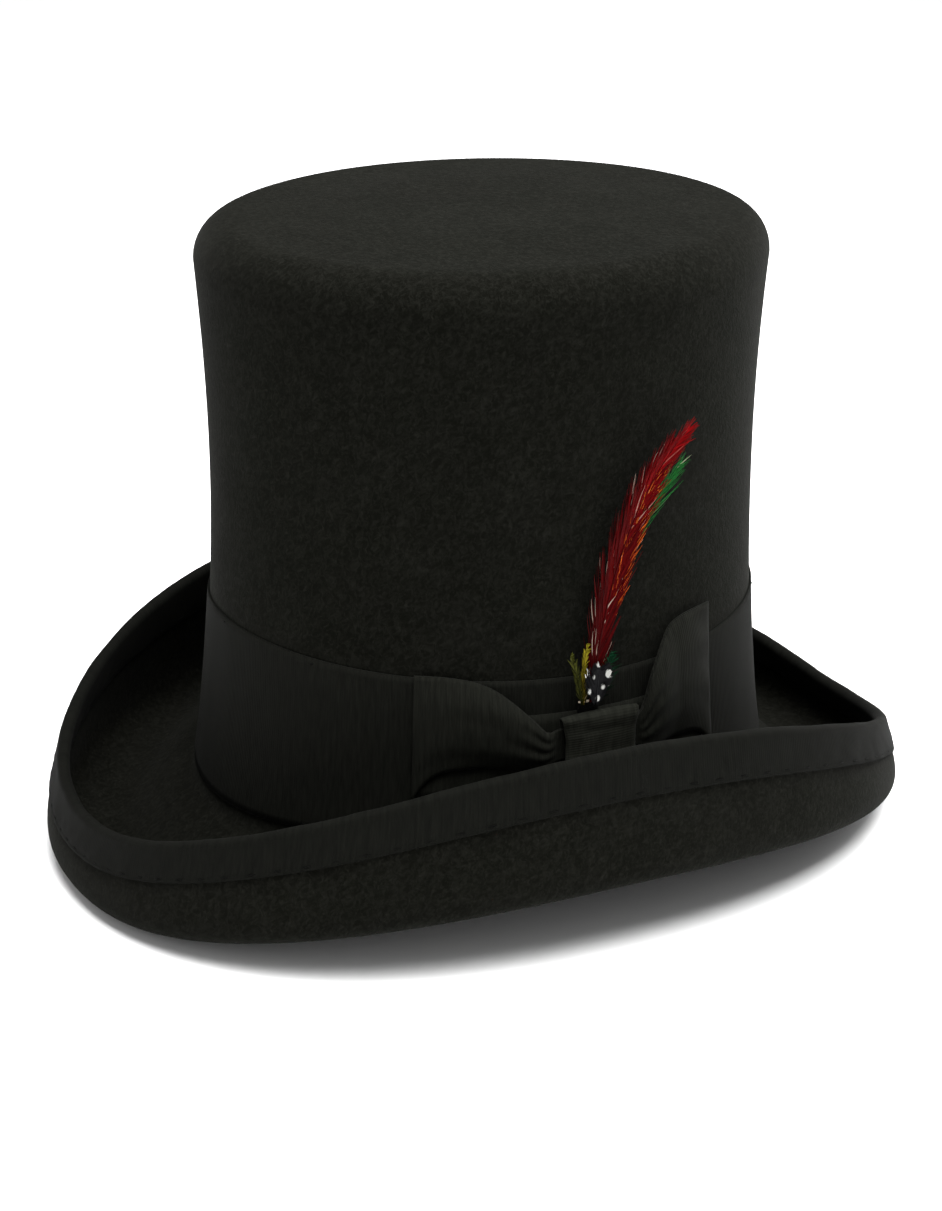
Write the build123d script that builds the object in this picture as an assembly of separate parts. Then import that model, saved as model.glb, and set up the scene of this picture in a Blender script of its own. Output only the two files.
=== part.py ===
# A tall, waisted top hat in wool felt, with a ribbon band, a pinched bow, a bound and rolled
# brim, a sweatband, a lining, and a feather mount that pulls up out of the bow.
#
# Frame: millimetres, +Z up. The origin is on the surface that the brim rests on, under the
# middle of the crown. The front of the hat faces -Y, and the bow is on +X, the wearer's left.
#
# Most pieces are thin skins that follow the felt, so they are described by a point that
# depends on s, which runs along the piece's section, and on turn, the angle round the hat
# in degrees: 0 is the wearer's left, -90 the front and 90 the back.

import os
from functools import lru_cache
from math import cos, exp, hypot, pi, radians, sin

from build123d import *

os.makedirs("parts", exist_ok=True)

# Crown
crown_length = 204.0        # front to back, outside, where it meets the brim
crown_width = 182.0
crown_side_height = 192.0   # from the brim up to the level of the tip's edge
shoulder_radius = 13.2
side_lean = 27.0            # side offset = -lean s + flare s^2 - ease s^3, s from 0 to 1
side_flare = 29.2
side_ease = 4.6
felt = 2.8                  # thickness of the felt
crown_join = 10.0           # level above the foot at which the brim's felt takes over

# Brim
brim_length = 304.0         # at the rim
brim_width = 236.8
rim_squareness = 2.14       # exponent of the rim's superellipse: 2 is an ellipse
rest_to_crown = 30.4        # the crown's foot stands this far above the table
foot_saddle = 5.3           # the foot rises this much at the sides, and falls at front and back
side_rise = 24.1            # the brim's underside at the sides, above the table
rest_softness = 0.1         # how broad the flat is where the brim rests
rim_level = 18.2            # mean height of the rim above the crown's foot
rim_saddle = 23.1
rim_front_lift = 3.4        # the rim is higher in front than behind
low_share = 0.76            # where the underside is lowest, as a share of the brim's width
low_share_saddle = 0.05
break_radius = 6.0          # bend between the crown and the brim
lip_share = 0.114           # how far the roll bulges past the rim
roll_share = 0.65           # how far down the roll that bulge is

# Ribbon
ribbon = 0.6                # thickness of the grosgrain
layer_gap = 0.1             # air between one soft layer and the next
band_top_level = 59.6       # above the crown's foot
band_top_saddle = -2.5
band_foot_gap = 3.9         # the band's lower edge clears the bend at its foot
band_flare = 0.35           # the band's lower edge stands off the felt
binding_width = 13.0        # on each face of the brim
binding_stitch_count = 96

# Bow: turns round the crown, heights above the crown's foot
bow_front_end = -37.0
bow_rear_end = 28.0
knot_front = -10.0
knot_rear = 6.3
knot_bottom = 25.5
knot_top = 46.5
knot_depth = 3.4
neck_bottom = 30.5
neck_top = 41.5
neck_depth = 1.2
loop_puff = 4.2             # how far a loop stands out in its middle
loop_bottom = 29.0
loop_corner_drop = 12.0

# Inside
sweatband_height = 55.0
leather = 1.0
reed_radius = 1.1
lining = 0.35
sweat_stitch_count = 84
thread = 0.5

# Feather mount
quill_x = 90.1              # the quills stand in this upright plane
quill_bottom = 30.0         # heights above the crown's foot
wrap_bottom = 46.9
wrap_top = 49.6
wrap_depth = 3.0
quill_radius = 0.65
quill_count = 5
quill_pitch = 1.5
quill_clearance = 0.4
feather_foot_y = -6.0
vane_gap = 0.2
vane_pitch = 0.62           # from one vane's layer to the next
vane_thickness = 0.5
vane_root = 0.12
vane_fullness = 0.8
neck_room = 2.2             # from the quills' plane to the back of the bow's neck

half_length = crown_length / 2
half_width = crown_width / 2
seam_turn = 90.0            # closed skins have their seam at the back


def saddle(turn):
    # 1 at the two sides, -1 at the front and the back
    return cos(radians(2 * turn))


def side_offset(level):
    s = level / crown_side_height
    return -side_lean * s + side_flare * s ** 2 - side_ease * s ** 3


tip_level = crown_side_height - shoulder_radius
tip_reach = side_offset(tip_level) - shoulder_radius


def side_point(turn, level, out=0.0):
    # on the crown's side, at a height above its foot; out is the distance outside the felt
    offset = side_offset(level) + out
    angle = radians(turn)
    return Vector(
        (half_width + offset) * cos(angle),
        (half_length + offset) * sin(angle),
        rest_to_crown + level,
    )


def foot_level(turn):
    return foot_saddle * saddle(turn)


def rim_point(turn):
    angle = radians(turn)
    reach = (abs(cos(angle)) ** rim_squareness + abs(sin(angle)) ** rim_squareness) ** (
        -1 / rim_squareness
    )
    level = rim_level + rim_saddle * saddle(turn) - rim_front_lift * sin(angle)
    return Vector(
        brim_width / 2 * reach * cos(angle),
        brim_length / 2 * reach * sin(angle),
        rest_to_crown + level,
    )


def rest_height(turn):
    # underside of the brim above the table: flat at the front and back, raised at the sides
    side = cos(radians(turn)) ** 2
    return side_rise * (hypot(side, rest_softness) - rest_softness) / (
        hypot(1, rest_softness) - rest_softness
    )


def curve_point(controls, t):
    # Bezier curve through any number of control points
    points = list(controls)
    while len(points) > 1:
        points = [a * (1 - t) + b * t for a, b in zip(points, points[1:])]
    return points[0]


@lru_cache(maxsize=None)
def brim_curves(turn):
    # under-skin of the brim in one radial section: the bend, the fall and the roll
    outside = side_point(turn, foot_level(turn))
    wall = side_point(turn, foot_level(turn), -felt) - Vector(0, 0, felt)
    rim = rim_point(turn)
    out = Vector(rim.X - outside.X, rim.Y - outside.Y, 0)
    span = out.length
    out = out.normalized()
    share = low_share + low_share_saddle * saddle(turn)
    low = outside + out * span * share
    low = Vector(low.X, low.Y, rest_height(turn))
    fall = (wall.Z - low.Z) * 0.35 / (0.4 * share * span)
    slope = out - Vector(0, 0, fall)
    start = wall + slope * break_radius
    bend = [wall + Vector(0, 0, break_radius), wall, start]
    fall_line = [start, start + slope * span * 0.28, low - out * span * 0.30, low]
    roll_end = rim + out * span * lip_share - Vector(0, 0, (rim.Z - low.Z) * roll_share)
    roll = [low, low + out * span * 0.54, roll_end, rim]
    return bend, fall_line, roll


def under_skin(s, turn):
    # the brim's lower skin: s is 3 at the crown's wall, 3.3 past the bend, 4 where the
    # brim is lowest and 5 at its rim
    bend, fall_line, roll = brim_curves(turn)
    if s < 3.3:
        return curve_point(bend, (s - 3) / 0.3)
    if s < 4:
        return curve_point(fall_line, (s - 3.3) / 0.7)
    return curve_point(roll, min(s - 4, 1.0))


def skin_normal(s, turn):
    # unit normal of the under-skin, pointing to the felt's outer and upper side
    step = 0.004
    before, after = max(s - step, 3.0), min(s + step, 5.0)
    along = under_skin(after, turn) - under_skin(before, turn)
    around = under_skin(s, turn + 0.5) - under_skin(s, turn - 0.5)
    return along.cross(around).normalized()


def felt_point(s, turn, height):
    # height above the under-skin: 0 is the under-skin, felt is the outer skin
    return under_skin(s, turn) + skin_normal(s, turn) * height


def spread(start, end, count):
    return [start + (end - start) * i / (count - 1) for i in range(count)]


def smooth(share):
    share = min(max(share, 0.0), 1.0)
    return share * share * (3 - 2 * share)


def nearest_edge(face, points):
    return min(face.edges(), key=lambda edge: sum(edge.distance_to(Vertex(*p)) for p in points))


def skin_face(point_at, rows, turns):
    grid = [[point_at(s, turn) for turn in turns] for s in rows]
    return Face.make_surface_from_array_of_points(grid, tol=1e-2, min_deg=3, max_deg=3)


def ring_solid(outer, inner, rows, columns=97):
    # closed skin round the whole hat, between an outer and an inner point function
    turns = spread(seam_turn, seam_turn + 360, columns)
    faces = [skin_face(outer, rows, turns), skin_face(inner, rows, turns)]
    marks = [seam_turn + 60, seam_turn + 180, seam_turn + 300]
    for s in (rows[0], rows[-1]):
        edges = [
            nearest_edge(face, [point_at(s, turn) for turn in marks])
            for face, point_at in zip(faces[:2], (outer, inner))
        ]
        faces.append(Face.make_surface_from_curves(*edges))
    return Solid(Shell(faces))


def patch_solid(outer, inner, rows, turns):
    # thin piece with four sides, between an outer and an inner point function
    faces = [skin_face(outer, rows, turns), skin_face(inner, rows, turns)]
    sides = [[(s, turn) for turn in turns] for s in (rows[0], rows[-1])]
    sides += [[(s, turn) for s in rows] for turn in (turns[0], turns[-1])]
    for side in sides:
        marks = [side[len(side) // 4], side[len(side) // 2], side[3 * len(side) // 4]]
        edges = [
            nearest_edge(face, [point_at(*mark) for mark in marks])
            for face, point_at in zip(faces[:2], (outer, inner))
        ]
        faces.append(Face.make_surface_from_curves(*edges))
    return Solid(Shell(faces))


def tube_ring(centre_at, radius):
    # round cord that runs once round the hat: two half-round skins with thin flats between
    def half(side):
        def point_at(s, turn):
            angle = radians(-80 + 160 * s)
            out = Vector(cos(radians(turn)), sin(radians(turn)), 0) * side
            return centre_at(turn) + out * radius * cos(angle) + Vector(0, 0, radius * sin(angle))

        return point_at

    return ring_solid(half(1), half(-1), spread(0, 1, 7), 73)


def stitch(place, along, length):
    # one stitch of thread, laid flat
    return Plane(origin=place, z_dir=along) * Box(thread, thread, length)


def save(name, *solids):
    shape = solids[0] if len(solids) == 1 else Compound(children=list(solids))
    export_step(shape, f"parts/{name}.step")


# --- felt body -------------------------------------------------------------------------

def felt_outer(s, turn):
    return felt_point(s, turn, felt)


def crown_form(inset, bottom):
    # solid block of the crown's shape, inset from the outside of the felt
    corner = shoulder_radius - inset
    sections = [(level, side_offset(level) - inset) for level in spread(bottom, tip_level, 12)]
    for i in range(1, 7):
        swing = pi / 2 * i / 6
        sections.append((tip_level + corner * sin(swing), tip_reach + corner * cos(swing)))
    rings = [
        Location((0, 0, rest_to_crown + level)) * Edge.make_ellipse(half_length + out, half_width + out)
        for level, out in sections
    ]
    return Solid.make_loft([Wire([Rot(Z=90) * ring]) for ring in rings])


def felt_crown():
    # the blocked crown: side and tip
    return crown_form(0, crown_join) - crown_form(felt, crown_join - 1)


def brim_section(turn):
    # closed outline of the brim's felt in one radial section
    rows = spread(3, 3.3, 3) + spread(3.3, 4, 5)[1:] + spread(4, 5, 7)[1:]
    wall_foot = brim_curves(turn)[0][0].Z - rest_to_crown
    wall_levels = spread(crown_join, wall_foot, 5)[:-1]
    upper = [side_point(turn, level) for level in wall_levels]
    lower = [side_point(turn, level, -felt) for level in wall_levels]
    upper += [felt_outer(s, turn) for s in rows]
    lower += [under_skin(s, turn) for s in rows]
    return Wire([
        Edge.make_spline(upper),
        Edge.make_line(upper[-1], lower[-1]),
        Edge.make_spline(lower),
        Edge.make_line(lower[0], upper[0]),
    ])


def felt_brim():
    # the bend at the crown's foot, the brim and its roll, lofted round in two halves
    halves = [
        Solid.make_loft([brim_section(turn) for turn in spread(start, start + 180, 19)])
        for start in (-90, 90)
    ]
    return halves[0] + halves[1]


# --- ribbon ----------------------------------------------------------------------------

@lru_cache(maxsize=None)
def binding_start(turn):
    # s at which the binding's edge lies, binding_width back from the rim
    roll = brim_curves(turn)[2]
    length = sum(
        (curve_point(roll, (i + 1) / 12) - curve_point(roll, i / 12)).length for i in range(12)
    )
    return 5.0 - binding_width / length


def binding_skin(height):
    # U-shaped section: up the upper face, round the rim and back along the lower face
    def point_at(s, turn):
        start = binding_start(turn)
        if s < 1:
            return felt_point(start + (5.0 - start) * s, turn, felt + height)
        if s > 2:
            return felt_point(5.0 - (5.0 - start) * (s - 2), turn, -height)
        swing = pi * (s - 1)
        reach = felt / 2 + height
        past_rim = (under_skin(5.0, turn) - under_skin(4.98, turn)).normalized()
        middle = felt_point(5.0, turn, felt / 2)
        return middle + skin_normal(5.0, turn) * reach * cos(swing) + past_rim * reach * sin(swing)

    return point_at


def brim_binding():
    rows = spread(0, 1, 7) + spread(1, 2, 9)[1:] + spread(2, 3, 7)[1:]
    return ring_solid(binding_skin(layer_gap + ribbon), binding_skin(layer_gap), rows)


def binding_stitches():
    outside = binding_skin(layer_gap + ribbon + layer_gap + thread / 2)
    stitches = []
    for i in range(binding_stitch_count):
        turn = 360 * (i + 0.5) / binding_stitch_count
        for s in (0.12, 2.88):
            place = outside(s, turn)
            stitches.append(stitch(place, outside(s, turn + 0.5) - place, 2.4))
    return stitches


def band_level(share, turn):
    bottom = foot_level(turn) + band_foot_gap
    top = band_top_level + band_top_saddle * saddle(turn)
    return bottom + (top - bottom) * share


def hat_band():
    def skin(out):
        def point_at(s, turn):
            flare = band_flare * smooth(1 - 4 * s)
            return side_point(turn, band_level(s, turn), out + flare)

        return point_at

    return ring_solid(skin(layer_gap + ribbon), skin(layer_gap), spread(0, 1, 13))


def band_tacks():
    tacks = []
    for turn in (-150, -90, -60, 60, 90, 150, 180):
        for share, flare in ((0.03, band_flare), (0.97, 0)):
            out = 2 * layer_gap + ribbon + flare + thread / 2
            place = side_point(turn, band_level(share, turn), out)
            ahead = side_point(turn + 1, band_level(share, turn), out)
            tacks.append(stitch(place, ahead - place, 1.6))
    return tacks


# --- bow -------------------------------------------------------------------------------

back_out = 2 * layer_gap + ribbon      # where the bow's flat back layer starts


def bow_back_layer():
    def skin(out):
        def point_at(s, turn):
            bottom, top = knot_bottom - 8, knot_top + 7
            return side_point(turn, bottom + (top - bottom) * s, out)

        return point_at

    turns = spread(bow_front_end + 1, bow_rear_end - 1, 33)
    return patch_solid(skin(back_out + ribbon), skin(back_out), spread(0, 1, 5), turns)


def loop_solid(end, inner_end, tip_level, pinch_level, steepness):
    # one puffed loop: t is 0 at the knot's side and 1 at the outer fold, and below 0 the
    # loop's neck runs on inside the knot
    middle = (knot_front + knot_rear) / 2
    neck_start = (middle - inner_end) * 0.85 / (end - inner_end)

    def outline(t):
        grown = 1 - (1 - max(t, 0.0)) ** steepness
        top = pinch_level + (tip_level - pinch_level) * grown
        bottom = loop_bottom - loop_corner_drop * max(t, 0.0) ** 8
        blend = smooth((t + 0.02) / 0.12)
        return neck_bottom + (bottom - neck_bottom) * blend, neck_top + (top - neck_top) * blend

    def skin(depth):
        def point_at(v, t):
            bottom, top = outline(t)
            level = bottom + (top - bottom) * v
            turn = inner_end + (end - inner_end) * t
            # inside the knot the neck is upright, and outside it settles on to the band
            upright = (quill_x + neck_room) / cos(radians(turn)) - half_width - side_offset(level)
            flat = back_out + ribbon + layer_gap
            back = upright + (flat - upright) * smooth(t / 0.5)
            puff = loop_puff * sin(pi * min(max(t, 0.0), 1.0)) * (1 - (2 * v - 1) ** 4)
            return side_point(turn, level, back + depth * (neck_depth + puff))

        return point_at

    return patch_solid(skin(1), skin(0), spread(0, 1, 9), spread(neck_start, 1, 41))


def bow_front_loop():
    return loop_solid(bow_front_end, knot_front, band_top_level + 0.5, 36.0, 3)


def bow_rear_loop():
    return loop_solid(bow_rear_end, knot_rear, 71.0, 41.0, 4)


def bow_knot():
    # the ribbon wrapped round the bow's neck, with the neck's passage through it
    middle = radians((knot_front + knot_rear) / 2)
    width = (half_length + side_offset(knot_bottom)) * radians(knot_rear - knot_front)
    height = knot_top - knot_bottom
    back = quill_x + quill_radius + quill_clearance
    centre = Location((
        back + knot_depth / 2,
        (half_length + side_offset(knot_bottom)) * sin(middle),
        rest_to_crown + (knot_top + knot_bottom) / 2,
    ))
    wrap = fillet(Box(knot_depth, width, height).edges().filter_by(Axis.Y), knot_depth * 0.4)
    passage = Box(neck_depth + 0.8, width * 2, neck_top - neck_bottom + 1.5)
    return centre * (wrap - passage)


# --- inside ----------------------------------------------------------------------------

def inside_out(level, turn):
    # negative: how far the sweatband's outer face stands in from the outside of the felt
    above = level - foot_level(turn)
    reed_room = 2 * reed_radius + 0.3
    return -(felt + 2 * layer_gap + lining + reed_room * exp(-max(above, 0) / 5))


def sweatband():
    def skin(inward):
        def point_at(s, turn):
            level = foot_level(turn) - 1 + sweatband_height * s
            return side_point(turn, level, inside_out(level, turn) - inward)

        return point_at

    return ring_solid(skin(0), skin(leather), spread(0, 1, 14))


def sweatband_reed():
    def centre_at(turn):
        level = foot_level(turn) - 0.5
        return side_point(turn, level, inside_out(level, turn) + reed_radius + 0.2)

    return tube_ring(centre_at, reed_radius)


def sweat_face(turn, above, gap):
    level = foot_level(turn) + above
    return side_point(turn, level, inside_out(level, turn) - leather - gap)


def sweatband_stitches():
    stitches = []
    for i in range(sweat_stitch_count):
        turn = 360 * (i + 0.5) / sweat_stitch_count
        place = sweat_face(turn, 4.0, layer_gap + thread / 2)
        stitches.append(stitch(place, sweat_face(turn + 1, 4.0, layer_gap + thread / 2) - place, 3.0))
    return stitches


def sweatband_seam():
    # short cross stitches up the join at the back
    return [
        stitch(sweat_face(seam_turn, above, layer_gap + thread / 2), Vector(1, 0, 0), 4.0)
        for above in range(10, 52, 4)
    ]


def sweatband_bow():
    # small flat ribbon bow over the join
    place = sweat_face(seam_turn, 7.5, 1.0)
    corners = [(-8, 2.6), (-1, 1), (1, 1), (8, 2.6), (8, -2.6), (1, -1), (-1, -1), (-8, -2.6)]
    wings = extrude(make_face(Polyline(*corners, close=True)), 0.4, both=True)
    bow = wings + Box(2.4, 3.2, 1.2)
    return Plane(origin=place, x_dir=(1, 0, 0), z_dir=(0, -1, 0)) * bow


def size_label():
    def skin(gap):
        return lambda s, turn: sweat_face(turn, 26 + 14 * s, gap)

    return patch_solid(skin(layer_gap), skin(layer_gap + 0.4), spread(0, 1, 5), spread(118, 129, 7))


def lining_side():
    top = crown_side_height - shoulder_radius

    def skin(inward):
        def point_at(s, turn):
            bottom = foot_level(turn) + 16
            return side_point(turn, bottom + (top - bottom) * s, -(felt + layer_gap + inward))

        return point_at

    return ring_solid(skin(0), skin(lining), spread(0, 1, 12))


lining_tip_height = rest_to_crown + crown_side_height - felt - layer_gap - lining


def lining_tip():
    flat = Ellipse(half_width + tip_reach, half_length + tip_reach)
    return Location((0, 0, lining_tip_height)) * extrude(flat, lining)


def lining_piping():
    # thin cord over the join between the lining's side and its tip
    def centre_at(turn):
        return side_point(turn, tip_level + 1.4, -(felt + 2.6))

    return tube_ring(centre_at, 0.8)


# --- feather mount ---------------------------------------------------------------------

def feather(length, width, layer, foot_side=0.0, lean=0.0, bend=230.0):
    # one vane: a thin leaf along an arc. layer counts outwards from the quills, foot_side is
    # its foot's place across the mount, lean its first tilt towards the back in degrees
    def edge_at(share, across):
        angle = length / bend * share
        half = width / 2 * sin(pi * (vane_root + (1 - vane_root) * share) ** vane_fullness) * across
        return bend - (bend - half) * cos(angle), (bend - half) * sin(angle)

    flanks = [Spline(*[edge_at(share, across) for share in spread(0, 1, 7)]) for across in (-1, 1)]
    foot = Line(flanks[0] @ 0, flanks[1] @ 0)
    leaf = extrude(make_face(flanks + [foot]), vane_thickness)
    place = Vector(
        quill_x + vane_pitch * layer,
        feather_foot_y + foot_side,
        rest_to_crown + wrap_top + vane_gap,
    )
    return Plane(origin=place, x_dir=(0, 1, 0), z_dir=(1, 0, 0)) * Rot(Z=-lean) * leaf


def quill_places():
    return [feather_foot_y + (i - (quill_count - 1) / 2) * quill_pitch for i in range(quill_count)]


def feather_quills():
    # the stems, side by side, that go down behind the knot
    height = wrap_top - quill_bottom
    middle = rest_to_crown + (wrap_top + quill_bottom) / 2
    return [Pos(quill_x, y, middle) * Cylinder(quill_radius, height) for y in quill_places()]


def quill_wrap():
    # thread wound round the stems, which comes to rest on top of the knot
    width = quill_count * quill_pitch + 1.2
    height = wrap_top - wrap_bottom
    wrap = fillet(Box(wrap_depth, width, height).edges().filter_by(Axis.Z), wrap_depth * 0.35)
    wrap = Pos(quill_x, feather_foot_y, rest_to_crown + (wrap_top + wrap_bottom) / 2) * wrap
    hole_side = 2 * (quill_radius + layer_gap)
    hole = Box(hole_side, (quill_count - 1) * quill_pitch + hole_side, 2 * height)
    return wrap - Pos(quill_x, feather_foot_y, rest_to_crown + (wrap_top + wrap_bottom) / 2) * hole


if __name__ == "__main__":
    save("felt_crown", felt_crown())
    save("felt_brim", felt_brim())
    save("brim_binding", brim_binding())
    save("binding_stitches", *binding_stitches())
    save("hat_band", hat_band())
    save("band_tacks", *band_tacks())
    save("bow_back_layer", bow_back_layer())
    save("bow_front_loop", bow_front_loop())
    save("bow_rear_loop", bow_rear_loop())
    save("bow_knot", bow_knot())
    save("sweatband", sweatband())
    save("sweatband_reed", sweatband_reed())
    save("sweatband_stitches", *sweatband_stitches())
    save("sweatband_seam", *sweatband_seam())
    save("sweatband_bow", sweatband_bow())
    save("size_label", size_label())
    save("lining_side", lining_side())
    save("lining_tip", lining_tip())
    save("lining_piping", lining_piping())
    save("feather_quills", *feather_quills())
    save("quill_wrap", quill_wrap())
    save("crimson_feather", feather(84, 10, 0, 1.0, 2))
    save("green_feather", feather(86, 8, 1, 3.0, 5))
    save("orange_feather", feather(74, 6, 2, 3.0, 3))
    save("red_feather", feather(104, 13, 3, 0.5, 2))
    save("yellow_feather", feather(34, 5, 4, -2.0, 1))
    save("olive_feather", feather(22, 5, 5, -4.5, -10))
    save("green_down", feather(20, 8, 4, 3.5, 10))
    save("guinea_feather", feather(17, 10.5, 6, 0.5, 2, 120))
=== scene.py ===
import random
from functools import lru_cache
from math import cos, exp, hypot, pi, radians, sin

import bmesh
import bpy
import numpy as np
from mathutils import Matrix, Vector, noise


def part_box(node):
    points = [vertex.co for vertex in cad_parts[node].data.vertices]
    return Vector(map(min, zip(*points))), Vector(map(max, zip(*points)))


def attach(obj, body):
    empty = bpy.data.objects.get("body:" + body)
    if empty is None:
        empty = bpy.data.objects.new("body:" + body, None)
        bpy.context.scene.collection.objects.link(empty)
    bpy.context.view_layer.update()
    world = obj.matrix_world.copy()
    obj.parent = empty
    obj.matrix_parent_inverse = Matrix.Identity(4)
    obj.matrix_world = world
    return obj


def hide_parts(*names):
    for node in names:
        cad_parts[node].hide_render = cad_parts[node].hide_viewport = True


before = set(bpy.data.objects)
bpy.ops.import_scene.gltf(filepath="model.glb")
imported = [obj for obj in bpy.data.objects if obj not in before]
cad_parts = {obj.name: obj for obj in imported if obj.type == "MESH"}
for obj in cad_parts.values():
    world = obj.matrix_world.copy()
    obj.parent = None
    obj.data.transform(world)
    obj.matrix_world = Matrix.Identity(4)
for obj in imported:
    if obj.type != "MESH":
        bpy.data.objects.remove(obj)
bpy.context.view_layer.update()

# sizes read from the frame, and the hat's own measures
crownLow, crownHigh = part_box("felt_crown")
brimLow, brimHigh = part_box("felt_brim")
brimLength = brimHigh.y - brimLow.y
brimWidth = brimHigh.x - brimLow.x
mm = brimLength / 314.8  # one millimetre of the real hat

hat = dict(
    halfWidth=(crownHigh.x - crownLow.x) / 2 + 1.8 * mm,  # the foot is a little wider than the felt above it
    halfLength=(crownHigh.y - crownLow.y) / 2 + 1.8 * mm,
    restToCrown=30.4 * mm,
    shoulder=13.2 * mm,
    felt=2.8 * mm,
    lean=27.0 * mm,
    flare=29.2 * mm,
    ease=4.6 * mm,
    tipDome=1.9 * mm,
    tipFlat=0.45,
    footSaddle=5.3 * mm,
    sideRise=24.1 * mm,
    restSoftness=0.1,
    breakRadius=6.0 * mm,
    wobble=0.7 * mm,
    wobbleFade=30 * mm,
    wobbleScale=1.6,
    wobblePerMetre=14,
)
hat["sideHeight"] = crownHigh.z - hat["restToCrown"]
rim = dict(
    halfWidth=0.4827 * brimWidth,
    halfLength=0.4828 * brimLength,
    squareness=2.14,
    level=18.2 * mm,
    saddle=23.1 * mm,
    frontLift=3.4 * mm,
    lowShare=0.76,
    lowShareSaddle=0.05,
    lip=0.114,
    roll=0.65,
    waver=0.5 * mm,
    waverScale=2.2,
    waverSeed=3,
    earlyDrop=0.35,
    earlyRun=0.4,
    fallHandle=0.28,
    lowHandle=0.30,
    rollHandle=0.54,
)
# stations along a section of the felt, from 0 in the middle of the tip
section = dict(tipEdge=1, sideTop=2, foot=3, bendEnd=3.3, lowest=4, rim=5)
# how far to either side a slope is measured: in stations, in degrees, and back from the rim
probe = dict(station=0.004, turn=0.5, rim=0.02)
ribbonThickness = 0.6 * mm
layerGap = 0.1 * mm


def spread(start, end, count):
    return [start + (end - start) * i / (count - 1) for i in range(count)]


def smooth(share):
    share = min(max(share, 0.0), 1.0)
    return share * share * (3 - 2 * share)


def wave(x, y, z):
    # smooth noise, about -1 to 1
    return noise.noise(Vector((x, y, z)))


def roundTurns(count):
    return [360 * i / count for i in range(count)]


def saddle(turn):
    return cos(radians(2 * turn))


def footLevel(turn):
    return hat["footSaddle"] * saddle(turn)


def sideOffset(level):
    s = level / hat["sideHeight"]
    return -hat["lean"] * s + hat["flare"] * s ** 2 - hat["ease"] * s ** 3


def ringWave(turn, scale, z):
    # the same noise read round a circle, so that it closes on itself
    angle = radians(turn)
    return wave(scale * cos(angle), scale * sin(angle), z)


def signedPower(value, power):
    # a power below 1 squares off a cosine or a sine
    return abs(value) ** power * (1 if value > 0 else -1)


def outward(turn):
    return Vector((cos(radians(turn)), sin(radians(turn)), 0))


def ovalPoint(turn, offset, z, share=1):
    # on the crown's oval moved out by offset, or at a share of the way to it from the middle
    angle = radians(turn)
    return Vector((
        (hat["halfWidth"] + offset) * share * cos(angle),
        (hat["halfLength"] + offset) * share * sin(angle),
        z,
    ))


def handWobble(turn, level):
    # blocked felt is never quite true: shared by every layer on the crown
    amount = smooth(level / hat["wobbleFade"]) * hat["wobble"]
    return amount * ringWave(turn, hat["wobbleScale"], hat["wobblePerMetre"] * level)


def sidePoint(turn, level, out=0.0):
    offset = sideOffset(level) + out + handWobble(turn, level)
    return ovalPoint(turn, offset, hat["restToCrown"] + level)


def rimPoint(turn):
    angle = radians(turn)
    power = rim["squareness"]
    reach = (abs(cos(angle)) ** power + abs(sin(angle)) ** power) ** (-1 / power)
    level = rim["level"] + rim["saddle"] * saddle(turn) - rim["frontLift"] * sin(angle)
    level += rim["waver"] * ringWave(turn, rim["waverScale"], rim["waverSeed"])
    return Vector((
        rim["halfWidth"] * reach * cos(angle),
        rim["halfLength"] * reach * sin(angle),
        hat["restToCrown"] + level,
    ))


def restHeight(turn):
    side = cos(radians(turn)) ** 2
    soft = hat["restSoftness"]
    return hat["sideRise"] * (hypot(side, soft) - soft) / (hypot(1, soft) - soft)


def curvePoint(controls, t):
    points = list(controls)
    while len(points) > 1:
        points = [a.lerp(b, t) for a, b in zip(points, points[1:])]
    return points[0]


@lru_cache(maxsize=None)
def brimCurves(turn):
    # lower skin of the brim in one radial section: the bend, the fall and the roll
    outside = sidePoint(turn, footLevel(turn))
    wall = sidePoint(turn, footLevel(turn), -hat["felt"]) - Vector((0, 0, hat["felt"]))
    edge = rimPoint(turn)
    out = Vector((edge.x - outside.x, edge.y - outside.y, 0))
    span = out.length
    out.normalize()
    share = rim["lowShare"] + rim["lowShareSaddle"] * saddle(turn)
    low = outside + out * span * share
    low.z = restHeight(turn)
    fall = (wall.z - low.z) * rim["earlyDrop"] / (rim["earlyRun"] * share * span)
    slope = out - Vector((0, 0, fall))
    up = Vector((0, 0, hat["breakRadius"]))
    start = wall + slope * hat["breakRadius"]
    bend = (wall + up, wall, start)
    fallLine = (start, start + slope * span * rim["fallHandle"], low - out * span * rim["lowHandle"], low)
    rollEnd = edge + out * span * rim["lip"] - Vector((0, 0, (edge.z - low.z) * rim["roll"]))
    return bend, fallLine, (low, low + out * span * rim["rollHandle"], rollEnd, edge)


def underSkin(s, turn):
    # the lower skin from the foot, station 3, to the rim
    bend, fallLine, roll = brimCurves(turn)
    foot, bendEnd, lowest = section["foot"], section["bendEnd"], section["lowest"]
    if s < bendEnd:
        return curvePoint(bend, (s - foot) / (bendEnd - foot))
    if s < lowest:
        return curvePoint(fallLine, (s - bendEnd) / (lowest - bendEnd))
    return curvePoint(roll, s - lowest)


@lru_cache(maxsize=None)
def skinNormal(s, turn):
    before, after = max(s - probe["station"], section["foot"]), min(s + probe["station"], section["rim"])
    along = underSkin(after, turn) - underSkin(before, turn)
    around = underSkin(s, turn + probe["turn"]) - underSkin(s, turn - probe["turn"])
    return along.cross(around).normalized()


def feltPoint(s, turn, height):
    # height above the lower skin: 0 is the lower skin, hat["felt"] the upper one
    return underSkin(s, turn) + skinNormal(s, turn) * height


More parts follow.
